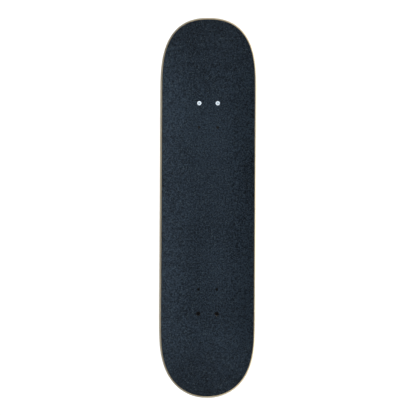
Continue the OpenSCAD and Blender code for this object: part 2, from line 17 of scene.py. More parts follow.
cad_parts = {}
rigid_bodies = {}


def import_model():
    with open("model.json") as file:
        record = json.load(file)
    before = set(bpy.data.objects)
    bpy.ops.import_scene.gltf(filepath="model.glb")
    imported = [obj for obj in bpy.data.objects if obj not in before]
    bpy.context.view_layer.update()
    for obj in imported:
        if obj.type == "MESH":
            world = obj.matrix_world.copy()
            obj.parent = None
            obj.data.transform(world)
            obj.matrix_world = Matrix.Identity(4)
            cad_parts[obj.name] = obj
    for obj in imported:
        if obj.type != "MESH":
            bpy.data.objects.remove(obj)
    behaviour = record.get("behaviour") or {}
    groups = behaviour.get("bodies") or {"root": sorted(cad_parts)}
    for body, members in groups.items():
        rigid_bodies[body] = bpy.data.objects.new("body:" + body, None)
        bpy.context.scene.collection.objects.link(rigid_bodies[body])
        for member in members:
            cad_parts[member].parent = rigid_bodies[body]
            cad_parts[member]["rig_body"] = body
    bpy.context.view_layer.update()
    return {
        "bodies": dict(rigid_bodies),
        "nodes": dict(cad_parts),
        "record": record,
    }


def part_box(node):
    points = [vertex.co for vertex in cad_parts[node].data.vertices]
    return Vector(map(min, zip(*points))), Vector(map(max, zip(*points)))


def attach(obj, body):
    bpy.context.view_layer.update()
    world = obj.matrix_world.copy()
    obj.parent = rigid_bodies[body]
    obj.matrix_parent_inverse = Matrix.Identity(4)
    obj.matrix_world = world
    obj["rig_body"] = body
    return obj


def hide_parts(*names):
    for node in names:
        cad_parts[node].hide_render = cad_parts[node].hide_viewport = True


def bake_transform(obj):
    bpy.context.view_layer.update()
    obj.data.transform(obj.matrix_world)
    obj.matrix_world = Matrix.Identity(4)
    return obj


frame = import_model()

MM = 0.001
ENDS = ("front", "rear")
SIDES = ("left", "right")
CORNERS = [f"{end}_{side}" for end in ENDS for side in SIDES]


def placed(name, data):
    """A new object in the scene."""
    item = bpy.data.objects.new(name, data)
    bpy.context.scene.collection.objects.link(item)
    return item


print("bodies:", ", ".join(sorted(frame["bodies"])))

# %% [markdown]
# ## Sizes
#
# A maker measures before cutting. The deck's outer sizes come from the loaded frame, so they
# always agree with it. What the box of a piece can't tell, such as how deep the concave is, is
# written here once as a mould maker would note it.

# %% Measure the frame
deck_low, deck_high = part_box("deck")
grip_low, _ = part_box("grip_tape")
board_length = deck_high.y - deck_low.y
board_width = deck_high.x - deck_low.x
deck_bottom = deck_low.z
deck_top = grip_low.z
deck_thickness = deck_top - deck_bottom

PLY_COUNT = 7
GRIP_THICKNESS = 0.7 * MM
EDGE_RADIUS = 2.5 * MM
CONCAVE_DEPTH = 11 * MM
FLAT_WIDTH = 60 * MM
TAPER_LENGTH = 178 * MM
SHOULDER_FULLNESS = 3.3
NOSE_FULLNESS = 2.4
TAIL_FULLNESS = 2.1
KICK_GAP = 13 * MM
KICK_RADIUS = 115 * MM
NOSE_ANGLE = math.radians(20.5)
TAIL_ANGLE = math.radians(20)
BOLT_DIAMETER = 4.8 * MM
BOLT_HEAD_DIAMETER = 9.6 * MM
BOLT_HEAD_DEPTH = 2.8 * MM


def middle(node):
    """The middle of a CAD node's box."""
    low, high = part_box(node)
    return (low + high) / 2


def size_of(node):
    """The size of a CAD node's box."""
    low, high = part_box(node)
    return high - low


bolts_across = size_of("tail_bolts").x - BOLT_HEAD_DIAMETER
bolts_along = size_of("tail_bolts").y - BOLT_HEAD_DIAMETER
truck_y = {end: middle(f"{end}_lock_nuts").y for end in ENDS}
nose_kick_start = truck_y["front"] + bolts_along / 2 + KICK_GAP
tail_kick_start = -truck_y["rear"] + bolts_along / 2 + KICK_GAP
print(f"deck {board_length:.3f} x {board_width:.4f} m, {deck_thickness * 1000:.1f} mm thick")
print(f"kicks start {nose_kick_start:.4f} and {tail_kick_start:.4f} m from the middle")

# %% [markdown]
# ## Camera
#
# The board is looked at from straight above, from a little over a metre, so its raised ends come
# slightly closer to the lens than its middle. A camera is never lined up perfectly with a board,
# so this one keeps about a third of a degree of roll.

# %% Place the camera
CAMERA_HEIGHT = 1.12
SENSOR_WIDTH = 36
LENS = 43.4
ROLL = math.radians(0.3)

camera_data = bpy.data.cameras.new("overhead_camera")
camera_data.sensor_width = SENSOR_WIDTH
camera_data.lens = LENS
camera_data.clip_start = 0.01
camera = placed("overhead_camera", camera_data)
camera.location = (0, 0, deck_top + CAMERA_HEIGHT)
camera.rotation_euler = (0, 0, ROLL)
bpy.context.scene.camera = camera
bpy.context.scene.view_settings.view_transform = "Standard"
print(f"camera {camera.location.z:.2f} m up, lens {LENS} mm")

# %% [markdown]
# ## Writing node maths as Python
#
# Shaders and Geometry Nodes both compute with Math nodes. A wrapped socket with Python's
# operators makes a formula in a tree read like a formula on paper.

# %% Value and Graph
def operator(operation, swapped=False):
    """A method that turns one of Python's operators into a Math node."""
    def method(self, other):
        pair = (other, self) if swapped else (self, other)
        return self.graph.maths(operation, *pair)
    return method


class Value:
    """A node's number, which can be added, multiplied or compared as in Python."""

    __add__ = __radd__ = operator("ADD")
    __sub__ = operator("SUBTRACT")
    __rsub__ = operator("SUBTRACT", swapped=True)
    __mul__ = __rmul__ = operator("MULTIPLY")
    __truediv__ = operator("DIVIDE")
    __rtruediv__ = operator("DIVIDE", swapped=True)
    __pow__ = operator("POWER")
    __gt__ = operator("GREATER_THAN")
    __lt__ = operator("LESS_THAN")

    def __init__(self, graph, socket):
        self.graph = graph
        self.socket = socket

    def __neg__(self):
        return self * -1

    def __abs__(self):
        return self.graph.maths("ABSOLUTE", self)


class Graph:
    """A node tree, for a material or for Geometry Nodes, that makes its nodes in one call."""

    def __init__(self, tree):
        self.tree = tree

    def plug(self, socket, value):
        if isinstance(value, Value):
            self.tree.links.new(value.socket, socket)
        elif value is not None:
            socket.default_value = value

    def add(self, kind, settings=None, inputs=None):
        """A node of a kind, its settings made first, then its sockets by name or number."""
        node = self.tree.nodes.new(kind)
        for name, value in (settings or {}).items():
            setattr(node, name, value)
        for name, value in (inputs or {}).items():
            for one in value if isinstance(value, list) else [value]:
                self.plug(node.inputs[name], one)
        return node

    def out(self, node, name=0):
        return Value(self, node.outputs[name])

    def maths(self, operation, *numbers):
        node = self.add("ShaderNodeMath", {"operation": operation}, dict(enumerate(numbers)))
        return self.out(node)

    def clamp(self, value, low=0.0, high=1.0):
        return self.maths("MINIMUM", self.maths("MAXIMUM", value, low), high)

    def smooth(self, value, low, high):
        """0 below low, 1 above high and a smooth step between."""
        t = self.clamp((value - low) / (high - low))
        return t * t * (3 - 2 * t)

    def split(self, vector):
        node = self.add("ShaderNodeSeparateXYZ", inputs={0: vector})
        return [self.out(node, name) for name in "XYZ"]

    def join(self, x, y, z):
        return self.out(self.add("ShaderNodeCombineXYZ", inputs={"X": x, "Y": y, "Z": z}))


print("node helpers ready")

# %% [markdown]
# ## Materials in general
#
# Every finish starts from the piece's own coordinates in metres, so that grain and grit keep
# their real size on every piece and stay put when the piece moves.

# %% Finish
class Finish(Graph):
    """A material under construction, with the few textures that this board needs."""

    def __init__(self, name, **shader):
        self.material = bpy.data.materials.new(name)
        self.material.use_nodes = True
        super().__init__(self.material.node_tree)
        self.shader = self.tree.nodes["Principled BSDF"]
        for socket, value in shader.items():
            self.shader.inputs[socket.replace("_", " ")].default_value = value
        self.place = self.out(self.add("ShaderNodeTexCoord"), "Object")

    def stretched(self, factors):
        """The piece's coordinates, drawn out by a factor along X, Y and Z."""
        return self.out(self.add("ShaderNodeMapping", {"vector_type": "TEXTURE"},
                                 {"Vector": self.place, "Scale": factors}))

    def noise(self, size, detail=2.0, rough=0.5, at=None):
        """Noise from 0 to 1 whose lumps measure about size, in metres."""
        inputs = {"Vector": at or self.place, "Scale": 1 / size, "Detail": detail,
                  "Roughness": rough}
        return self.out(self.add("ShaderNodeTexNoise", inputs=inputs), "Fac")

    def cells(self, size, output="Distance"):
        """Grains about size wide: the distance from a grain's middle, or its own colour."""
        inputs = {"Vector": self.place, "Scale": 1 / size}
        return self.out(self.add("ShaderNodeTexVoronoi", inputs=inputs), output)

    def attribute(self, name):
        return self.out(self.add("ShaderNodeAttribute", {"attribute_name": name}), "Fac")

    def mix(self, mask, colour_a, colour_b):
        node = self.add("ShaderNodeMix", {"data_type": "RGBA"}, {0: mask, 6: colour_a, 7: colour_b})
        return self.out(node, 2)

    def bump(self, height, depth, strength=1.0):
        """Relief whose height runs from 0 to 1 over a depth in metres."""
        inputs = {"Height": height, "Distance": depth, "Strength": strength}
        self.set("Normal", self.out(self.add("ShaderNodeBump", inputs=inputs)))

    def set(self, socket, value):
        self.plug(self.shader.inputs[socket], value)


def tint(red, green, blue):
    """A colour from its sRGB numbers, 0 to 255."""
    def linear(c):
        c /= 255
        return c / 12.92 if c <= 0.04045 else ((c + 0.055) / 1.055) ** 2.4
    return (linear(red), linear(green), linear(blue), 1)


print("finish helpers ready")

# %% [markdown]
# ### Maple
#
# The deck is rotary-cut hard maple under a thin clear lacquer. Along the rails its seven
# veneers show as bands, two of them with their grain across the board, with dark glue lines
# between. The mesh carries each point's height through the board, so one material can paint
# the faces and the bands.

# %% Maple finish
HASH_STEP = 12.9898
HASH_START = 4.1
HASH_SPREAD = 43758.5
LAST_PLY_END = 0.999


def maple():
    f = Finish("lacquered_maple", Coat_Weight=0.25, Coat_Roughness=0.25)
    height = f.attribute("ply_height")
    ply = f.maths("FLOOR", f.clamp(height, 0, LAST_PLY_END) * PLY_COUNT)
    within = f.maths("FRACT", f.clamp(height, 0, LAST_PLY_END) * PLY_COUNT)
    # A sine with a long step gives each veneer a shade of its own, as if drawn by lot. The
    # veneers on each side of the middle one have their grain across the board, so they are darker.
    shade = f.maths("FRACT", f.maths("SINE", ply * HASH_STEP + HASH_START) * HASH_SPREAD)
    cross = f.clamp(1 - abs(abs(ply - 3) - 1) * 4)
    rail = f.attribute("rail")
    long_grain = f.noise(7 * MM, 6, 0.62, f.stretched((1, 26, 1)))
    fine_grain = f.noise(0.9 * MM, 4, 0.7, f.stretched((1, 60, 1)))
    figure = f.noise(60 * MM, 3, 0.5, f.stretched((1, 3.2, 1)))
    pores = f.smooth(f.noise(0.55 * MM, 2, 0.8, f.stretched((1, 40, 1))), 0.62, 0.74)
    end_grain = f.noise(0.35 * MM, 3, 0.7)
    pale = tint(238, 222, 187)
    honey = tint(212, 180, 132)
    face = f.mix(f.clamp(long_grain * 0.75 + figure * 0.5 - 0.18), pale, honey)
    face = f.mix(f.smooth(fine_grain, 0.45, 0.8) * 0.35, face, tint(183, 143, 97))
    face = f.mix(pores * 0.4, face, tint(139, 99, 62))
    band = f.mix(shade * 0.55 + end_grain * 0.25, tint(248, 243, 220), tint(224, 209, 174))
    band = f.mix(cross * (0.42 + end_grain * 0.3), band, tint(196, 160, 112))
    line = f.smooth(abs(within - 0.5), 0.43, 0.49)
    band = f.mix(line * 0.55, band, tint(128, 94, 62))
    f.set("Base Color", f.mix(rail, face, band))
    f.set("Roughness", 0.42 + fine_grain * 0.16 + rail * 0.12)
    f.bump(fine_grain + pores * -0.6 + rail * line * -1.2, 0.08 * MM, 0.7)
    return f.material


maple_finish = maple()
print("made", maple_finish.name)

# %% [markdown]
# ### Grip tape
#
# The tape is silicon carbide grit glued to a thin film. It reads as a dark blue-grey because
# countless facets catch the sky. A few grains are glossier, and their colour is lightened as a
# painted highlight. Each grain is a small dome here, about a third of a millimetre wide. Sparse
# pale specks about two millimetres wide are painted highlights too, clumps and dust drift over
# larger patches, and both kicks are painted a little darker than the middle as painted shade.

# %% Grip finish
GRAIN_WIDTH = 0.34 * MM
GLINT_FLECK_WIDTH = 2.2 * MM
KICK_SHADE_START = 260 * MM
KICK_SHADE_END = 420 * MM


def grip():
    f = Finish("grip_sheet", Specular_IOR_Level=0.22)
    grit = f.noise(0.5 * MM, 3, 0.75)
    clumps = f.noise(3.4 * MM, 2, 0.65)
    patches = f.noise(9 * MM, 3, 0.6)
    drift = f.noise(120 * MM, 2, 0.5)
    grain_red, grain_green, _ = f.split(f.cells(GRAIN_WIDTH, "Color"))
    domes = f.clamp(0.8 - f.cells(GRAIN_WIDTH))
    glossy_grain_painted_glint = f.smooth(grain_red, 0.965, 0.99)
    dust = f.smooth(grit * 0.25 + clumps * 1.2 + patches * 0.2 + drift * 0.2, 0.65, 1.2)
    body = f.mix(dust, tint(7, 15, 25), tint(64, 81, 97))
    body = f.mix(f.smooth(patches, 0.55, 0.75) * 0.25, body, tint(30, 28, 42))
    body = f.mix(grain_green * 0.25, body, tint(13, 20, 27))
    _, along, _ = f.split(f.place)
    # Painted shade: the colour darkens over both kicks, standing in for the shade on the tilted ends.
    painted_kick_shade = f.smooth(abs(along), KICK_SHADE_START, KICK_SHADE_END)
    body = f.mix(painted_kick_shade * 0.42, body, tint(6, 11, 18))
    # Painted highlights: sparse pale specks about 2 mm wide are lightened in colour.
    glint_fleck_pick, _, _ = f.split(f.cells(GLINT_FLECK_WIDTH, "Color"))
    painted_glint_flecks = f.smooth(glint_fleck_pick, 0.86, 0.92) * f.clamp(1 - f.cells(GLINT_FLECK_WIDTH) * 1.5)
    body = f.mix(painted_glint_flecks * 0.6, body, tint(104, 122, 128))
    # Painted highlight: the glossy grains are lightened in colour; their lower roughness below is
    # real.
    f.set("Base Color", f.mix(glossy_grain_painted_glint * 0.6, body, tint(126, 138, 150)))
    f.set("Roughness", f.clamp(0.9 - glossy_grain_painted_glint * 0.5 - grain_green * 0.1))
    f.bump(grit * 0.5 + domes, 0.22 * MM, 0.8)
    return f.material


grip_finish = grip()
print("made", grip_finish.name)

# %% [markdown]
# ### Metals
#
# A truck's castings are tumbled in stone media, which leaves a soft grey sheen with tiny dents.
# Axles and bearings are ground, so their scratches run round the shaft. Bolts and washers are
# zinc plated, and black hardware is steel dipped in hot oxide. Each is the same recipe with its
# own numbers.

# %% Metal finishes
def metal(name, light, dark, rough, dent_size, dent_depth, brushed=None, metallic=1.0):
    """A metal with two tones, patchy roughness, dents, and scratches if they run along a line."""
    f = Finish(name, Metallic=metallic)
    patches = f.noise(9 * MM, 3, 0.6)
    dents = f.noise(dent_size, 3, 0.6)
    specks = f.smooth(f.noise(1.1 * MM, 2, 0.7), 0.66, 0.8)
    colour = f.mix(f.clamp(patches * 0.7 + dents * 0.3), tint(*light), tint(*dark))
    f.set("Base Color", f.mix(specks * 0.35, colour, tint(*[c * 0.55 for c in dark])))
    height = dents + specks * -0.5
    if brushed:
        scratches = f.noise(0.35 * MM, 2, 0.8, f.stretched(brushed))
        height = height * 0.4 + scratches
    f.set("Roughness", f.clamp(rough + patches * 0.12 + specks * 0.15 - 0.06))
    f.bump(height, dent_depth, 0.6)
    return f.material


ALONG_AXLE = (0.04, 1, 1)
cast_finish = metal("tumbled_aluminium", (206, 207, 208), (168, 170, 172), 0.36, 0.9 * MM, 0.12 * MM)
zinc_finish = metal("zinc_plate", (208, 219, 228), (178, 188, 198), 0.24, 0.7 * MM, 0.03 * MM)
ground_finish = metal("ground_steel", (188, 190, 193), (150, 152, 156), 0.26, 0.5 * MM, 0.03 * MM,
                      ALONG_AXLE)
race_finish = metal("polished_race", (205, 207, 210), (176, 179, 184), 0.16, 0.5 * MM, 0.01 * MM,
                    ALONG_AXLE)
oiled_finish = metal("oiled_steel", (112, 112, 114), (70, 70, 72), 0.34, 0.6 * MM, 0.04 * MM)
black_finish = metal("black_oxide", (18, 19, 22), (8, 9, 11), 0.42, 0.6 * MM, 0.04 * MM,
                     metallic=0.4)
print("made the metals")

# %% [markdown]
# ### Urethane, nylon and rubber
#
# Wheels and bushings are cast from urethane: hard and slightly translucent on the wheels, soft
# on the bushings. The wheels' tread picks up grey dirt where it rolls, so their mesh carries how
# much of each point is tread.

# %% Moulded finishes
def wheel_urethane():
    f = Finish("cast_wheel_urethane", Subsurface_Weight=0.12, Subsurface_Scale=0.002)
    f.shader.inputs["Subsurface Radius"].default_value = (1.0, 0.8, 0.6)
    tread = f.attribute("tread")
    dirt = f.noise(5 * MM, 5, 0.7)
    scuffs = f.smooth(f.noise(1.3 * MM, 4, 0.75, f.stretched((0.35, 1, 1))), 0.52, 0.7)
    cloud = f.noise(26 * MM, 2, 0.5)
    clean = f.mix(cloud, tint(229, 225, 216), tint(216, 211, 199))
    worn = f.mix(dirt, tint(216, 211, 200), tint(176, 171, 162))
    worn = f.mix(scuffs * 0.4, worn, tint(118, 114, 108))
    f.set("Base Color", f.mix(f.clamp(tread * (0.15 + dirt * 0.75)), clean, worn))
    f.set("Roughness", f.clamp(0.34 + tread * 0.25 + dirt * 0.1))
    f.bump(f.noise(0.6 * MM, 3, 0.7) + scuffs * tread * -1.2, 0.05 * MM, 0.6)
    return f.material


def moulded(name, light, dark, rough, grain, depth, **shader):
    """Moulded plastic or rubber: a mottled tone and a fine matt grain."""
    f = Finish(name, **shader)
    mottle = f.noise(6 * MM, 4, 0.6)
    texture = f.noise(grain, 3, 0.65)
    f.set("Base Color", f.mix(f.clamp(mottle * 0.8 + texture * 0.2), tint(*light), tint(*dark)))
    f.set("Roughness", f.clamp(rough + texture * 0.14 - 0.05))
    f.bump(texture, depth, 0.6)
    return f.material


wheel_finish = wheel_urethane()
bushing_finish = moulded("soft_urethane", (229, 222, 203), (206, 195, 170), 0.38, 0.5 * MM,
                         0.05 * MM, Subsurface_Weight=0.15, Subsurface_Scale=0.003)
cup_finish = moulded("black_urethane", (34, 34, 35), (22, 22, 23), 0.5, 0.4 * MM, 0.05 * MM)
cage_finish = moulded("black_nylon", (46, 46, 48), (32, 32, 34), 0.42, 0.3 * MM, 0.02 * MM)
shield_finish = moulded("shield_rubber", (30, 31, 33), (20, 20, 22), 0.46, 0.3 * MM, 0.03 * MM)
print("made the moulded finishes")

# %% [markdown]
# ## The pressed deck
#
# Seven glued veneers are pressed in a mould, cut to outline, and rounded along the edge. The
# shape follows a rule: an outline with a superellipse at each end, a flat middle strip between
# rising rails, and a bend with a straight kick beyond each truck. Geometry Nodes can hold such a
# rule: three flat grids are laid out over the outline and lifted onto the mould's surface, one
# for each face and one for the edge. The same tree presses the deck and the grip tape on it.

# %% Mould surface as node maths
SLOPE_STEP = 0.05 * MM


class Mould:
    """The pressed shape as formulas on a geometry tree's values."""

    def __init__(self, graph, size):
        self.g = graph
        self.size = size

    def choose(self, nose, a, b):
        """One value on the nose half, where nose is 1, and another on the tail half."""
        return nose * a + (1 - nose) * b

    def kick(self, distance, angle):
        """Rise past the start of a kick: an arc, then a straight."""
        g, radius = self.g, self.size["Kick radius"]
        bend = radius * g.maths("SINE", angle)
        past = g.maths("MAXIMUM", distance, 0)
        arc = g.maths("MINIMUM", past, bend)
        rise = radius - g.maths("SQRT", radius * radius - arc * arc)
        return rise + (past - arc) * g.maths("TANGENT", angle)

    def rise(self, x, y):
        """Height of the mould over its flat middle."""
        g, size = self.g, self.size
        nose = y > 0
        along = abs(y)
        start = self.choose(nose, size["Nose kick start"], size["Tail kick start"])
        angle = self.choose(nose, size["Nose angle"], size["Tail angle"])
        fade = g.smooth(along, start, size["Length"] / 2)
        outer = size["Width"] / 2 - size["Flat width"] / 2
        past = g.maths("MAXIMUM", abs(x) - size["Flat width"] / 2, 0) / outer
        concave = size["Concave depth"] * past * past * (1 - size["Concave fade"] * fade)
        return self.kick(along - start, angle) + concave

    def outline(self, station, inset):
        """A point of the outline's right half, moved inwards, for a station from -1 to 1."""
        g, size = self.g, self.size
        nose = station > 0
        along = abs(station)
        middle_share = size["Middle share"]
        end = g.clamp((along - middle_share) / (1 - middle_share))
        t = g.maths("SINE", end * (math.pi / 2))
        straight = g.clamp(along / middle_share) * (size["Length"] / 2 - size["Taper length"])
        fullness = self.choose(nose, size["Nose fullness"], size["Tail fullness"])
        shoulder = size["Shoulder fullness"]
        share = g.maths("MAXIMUM", 1 - t ** shoulder, 0) ** (1 / fullness)
        out_x = fullness * share ** (fullness - 1) / (size["Width"] / 2)
        out_y = shoulder * t ** (shoulder - 1) / size["Taper length"]
        scale = inset / g.maths("SQRT", out_x * out_x + out_y * out_y)
        x = g.maths("MAXIMUM", share * size["Width"] / 2 - out_x * scale, 0)
        y = straight + t * size["Taper length"] - out_y * scale
        return x, (nose * 2 - 1) * y

    def point(self, x, y, height):
        """A point on the mould at a height through the board, square to the surface."""
        g, step = self.g, SLOPE_STEP
        slope_x = (self.rise(x + step, y) - self.rise(x - step, y)) / (2 * step)
        slope_y = (self.rise(x, y + step) - self.rise(x, y - step)) / (2 * step)
        length = g.maths("SQRT", slope_x * slope_x + slope_y * slope_y + 1)
        pivot = self.size["Edge radius of board"]
        off = (height - pivot) / length
        base = self.size["Bottom"] + pivot + self.rise(x, y)
        return g.join(x - slope_x * off, y - slope_y * off, base + off)


print("mould formulas ready")

# %% [markdown]
# A geometry tree is a function with named inputs. Its helper below adds an input, remembers its
# identifier, and later sets it on the modifier before the tree first runs.

# %% Geometry tree helper
class Shape(Graph):
    """A Geometry Nodes tree that becomes a plain mesh."""

    def __init__(self, name):
        tree = bpy.data.node_groups.new(name, "GeometryNodeTree")
        tree.interface.new_socket("Geometry", in_out="OUTPUT", socket_type="NodeSocketGeometry")
        super().__init__(tree)
        self.entry = tree.nodes.new("NodeGroupInput")
        self.exit = tree.nodes.new("NodeGroupOutput")
        self.names = {}

    def input(self, name, kind="Float"):
        item = self.tree.interface.new_socket(name, in_out="INPUT",
                                              socket_type=f"NodeSocket{kind}")
        self.names[name] = item.identifier
        return self.out(self.entry, name)

    def geometry(self, kind, inputs, settings=None):
        """A geometry node's result."""
        return self.out(self.add("GeometryNode" + kind, settings, inputs))

    def count(self):
        """Each element's own number, from 0."""
        return self.geometry("InputIndex", None)

    def attribute(self, geometry, name, value):
        return self.geometry("StoreNamedAttribute",
                             {"Geometry": geometry, "Name": name, "Value": value},
                             {"data_type": "FLOAT"})

    def moved(self, geometry, position):
        return self.geometry("SetPosition", {"Geometry": geometry, "Position": position})

    def transformed(self, geometry, **changes):
        return self.geometry("Transform", {"Geometry": geometry, **changes})

    def flipped(self, geometry):
        return self.geometry("FlipFaces", {"Mesh": geometry})

    def joined(self, parts):
        return self.geometry("JoinGeometry", {0: parts})

    def copies(self, points, instance, **changes):
        return self.geometry("InstanceOnPoints",
                             {"Points": points, "Instance": instance, **changes})

    def boolean(self, operation, solids, base=None):
        """Solids united, shared, or cut from a base."""
        inputs = {"Mesh 2": solids}
        if base:
            inputs["Mesh 1"] = base
        return self.geometry("MeshBoolean", inputs,
                             {"operation": operation, "solver": "MANIFOLD"})

    def finish(self, geometry, material):
        """End the tree: real meshes, and the material on them."""
        real = self.geometry("RealizeInstances", {"Geometry": geometry})
        done = self.geometry("SetMaterial", {"Geometry": real, "Material": material})
        self.plug(self.exit.inputs[0], done)

    def make(self, name, **values):
        """A plain mesh object, the tree run with these inputs."""
        holder = placed(name, bpy.data.meshes.new(name))
        modifier = holder.modifiers.new(name, "NODES")
        modifier.node_group = self.tree
        for label, value in values.items():
            modifier[self.names[label.replace("_", " ")]] = value
        evaluated = holder.evaluated_get(bpy.context.evaluated_depsgraph_get())
        mesh = bpy.data.meshes.new_from_object(evaluated)
        bpy.data.objects.remove(holder)
        print(f"{name}: {len(mesh.vertices)} points, {len(mesh.polygons)} faces")
        return placed(name, mesh)


print("geometry helper ready")

# %% [markdown]
# The pressed sheet is built from grids whose own X and Y are used as running numbers: along the
# board, across it, and round its edge, where the two roundings take a share of the columns each
# and the straight wall takes the rest. Once lifted, the grids' rims share the same points, so
# merging by distance closes the shell. The bolt holes are drilled last by a Boolean with one cutter at
# each bolt.

# %% Pressed sheet tree
ROWS = 261
FACE_COLUMNS = 33
EDGE_COLUMNS = 20
ROUND_SHARE = 0.36
STRAIGHT_SHARE = 0.28
SAME_PLACE = 2e-6


def pressed_sheet():
    s = Shape("pressed_sheet")
    names = ("Length", "Width", "Taper length", "Shoulder fullness", "Nose fullness",
             "Tail fullness", "Flat width", "Concave depth", "Concave fade", "Nose kick start",
             "Tail kick start", "Kick radius", "Nose angle", "Tail angle", "Bottom",
             "Edge radius of board", "Middle share")
    size = {name: s.input(name) for name in names}
    inset = s.input("Inset")
    low = s.input("Low side")
    high = s.input("High side")
    radius = s.input("Edge radius")
    hole = {name: s.input(name) for name in ("Truck span", "Truck middle", "Bolts across",
                                             "Bolts along", "Hole", "Inner hole", "Countersink")}
    material = s.input("Material", "Material")
    mould = Mould(s, size)
    across, station, _ = s.split(s.geometry("InputPosition", None))

    def grid(columns, width):
        return s.geometry("MeshGrid", {"Size X": width, "Size Y": 2.0, "Vertices X": columns,
                                       "Vertices Y": ROWS})

    def face(height, share):
        rim_x, rim_y = mould.outline(station, inset + radius)
        raised = s.attribute(grid(FACE_COLUMNS, 2.0), "ply_height", share)
        raised = s.attribute(raised, "rail", 0.0)
        return s.moved(raised, mould.point(rim_x * across, rim_y, height))

    def rail(side):
        q = across + 0.5
        turn_low = s.clamp(q / ROUND_SHARE) * (math.pi / 2)
        turn_high = s.clamp((q - (1 - ROUND_SHARE)) / ROUND_SHARE) * (math.pi / 2)
        straight = s.clamp((q - ROUND_SHARE) / STRAIGHT_SHARE)
        edge_inset = radius * (2 - s.maths("SINE", turn_low) - s.maths("COSINE", turn_high))
        rise = radius * (1 - s.maths("COSINE", turn_low) + s.maths("SINE", turn_high))
        height = low + rise + straight * (high - low - 2 * radius)
        rim_x, rim_y = mould.outline(station, inset + edge_inset)
        band = s.attribute(grid(EDGE_COLUMNS, 1.0), "ply_height", (height - low) / (high - low))
        band = s.attribute(band, "rail", s.smooth(q * (1 - q), 0.02, 0.12))
        band = s.moved(band, mould.point(rim_x * side, rim_y, height))
        return s.flipped(band) if side > 0 else band

    def cutters(bottom_radius, top_radius, bottom, top):
        """A drill or a countersink at each of the eight bolts."""
        index = s.count()
        x = s.maths("MODULO", index, 2) * 2 - 1
        row = s.maths("MODULO", s.maths("FLOOR", index / 2), 2) * 2 - 1
        end = s.maths("FLOOR", index / 4) * 2 - 1
        y = hole["Truck middle"] + end * hole["Truck span"] / 2 + row * hole["Bolts along"] / 2
        at = s.join(x * hole["Bolts across"] / 2, y, size["Bottom"] + bottom)
        points = s.geometry("Points", {"Count": 8, "Position": at})
        cone = s.geometry("MeshCone", {"Vertices": 48, "Radius Bottom": bottom_radius,
                                       "Radius Top": top_radius, "Depth": top - bottom})
        inner = (row * end < 0) * hole["Inner hole"] + (row * end > 0)
        return s.copies(points, cone, Scale=s.join(inner, inner, 1))

    shell = s.joined([s.flipped(face(low, 0.0)), face(high, 1.0), rail(1), rail(-1)])
    shell = s.geometry("MergeByDistance", {"Geometry": shell, "Distance": SAME_PLACE})
    drills = cutters(hole["Hole"], hole["Hole"], low - 1 * MM, high + 1 * MM)
    sink = high + 0.02 * MM
    sinks = cutters(BOLT_DIAMETER / 2, hole["Countersink"], sink - BOLT_HEAD_DEPTH, sink)
    drilled = s.boolean("DIFFERENCE", [drills, sinks], shell)
    s.finish(drilled, material)
    return s


sheet_tree = pressed_sheet()
CONCAVE_FADE = 0.55
MIDDLE_SHARE = 0.32
HOLE_PLAY = 0.1 * MM
MOULD = {
    "Length": board_length, "Width": board_width, "Taper length": TAPER_LENGTH,
    "Shoulder fullness": SHOULDER_FULLNESS, "Nose fullness": NOSE_FULLNESS,
    "Tail fullness": TAIL_FULLNESS, "Flat width": FLAT_WIDTH, "Concave depth": CONCAVE_DEPTH,
    "Concave fade": CONCAVE_FADE, "Nose kick start": nose_kick_start,
    "Tail kick start": tail_kick_start, "Kick radius": KICK_RADIUS, "Nose angle": NOSE_ANGLE,
    "Tail angle": TAIL_ANGLE, "Bottom": deck_bottom, "Edge radius of board": EDGE_RADIUS,
    "Middle share": MIDDLE_SHARE, "Truck span": truck_y["front"] - truck_y["rear"],
    "Truck middle": (truck_y["front"] + truck_y["rear"]) / 2, "Bolts across": bolts_across,
    "Bolts along": bolts_along,
}
deck_blank = sheet_tree.make("pressed_deck", **MOULD, Inset=0.0, Low_side=0.0,
                             High_side=deck_thickness, Edge_radius=EDGE_RADIUS,
                             Hole=BOLT_DIAMETER / 2 + HOLE_PLAY, Inner_hole=1.0,
                             Countersink=BOLT_HEAD_DIAMETER / 2 + HOLE_PLAY,
                             Material=maple_finish)

# %% [markdown]
# ## Putting pieces in place
#
# Each new piece stands for a CAD node: it rides on the same body, is painted with the finish of
# the node's slot unless it has a material of its own, and hides the node. A CAD node whose shape
# is already right only gets its material.

# %% Stand-ins
slot_of = {part["node"]: part["material_slot"] for part in frame["record"]["subparts"]}
FINISHES = {
    "maple": maple_finish, "grip_tape": grip_finish, "cast_aluminium": cast_finish,
    "bright_steel": zinc_finish, "axle_steel": ground_finish, "bearing_steel": race_finish,
    "dark_steel": oiled_finish, "black_steel": black_finish, "wheel_urethane": wheel_finish,
    "bushing_urethane": bushing_finish, "cup_urethane": cup_finish, "cage_nylon": cage_finish,
    "shield": shield_finish,
}
for node_name, node in frame["nodes"].items():
    for number in range(len(node.material_slots)):
        node.material_slots[number].material = FINISHES[slot_of[node_name]]


def stands_for(piece, node):
    """The piece rides, shows and is painted in the place of a CAD node."""
    if not piece.data.materials:
        piece.data.materials.append(FINISHES[slot_of[node]])
    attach(piece, frame["nodes"][node]["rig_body"])
    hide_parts(node)
    return piece


stands_for(deck_blank, "deck")
print("painted", len(frame["nodes"]), "CAD nodes and fitted the deck")

# %% [markdown]
# ## Grip tape on the deck
#
# The tape is the same pressed sheet, thinner, and it ends just short of where the deck's edge
# begins to round, so a rim of bare wood shows. It is cut around the bolts: wide openings leave the
# outer heads bare, and narrow ones half cover the inner heads.

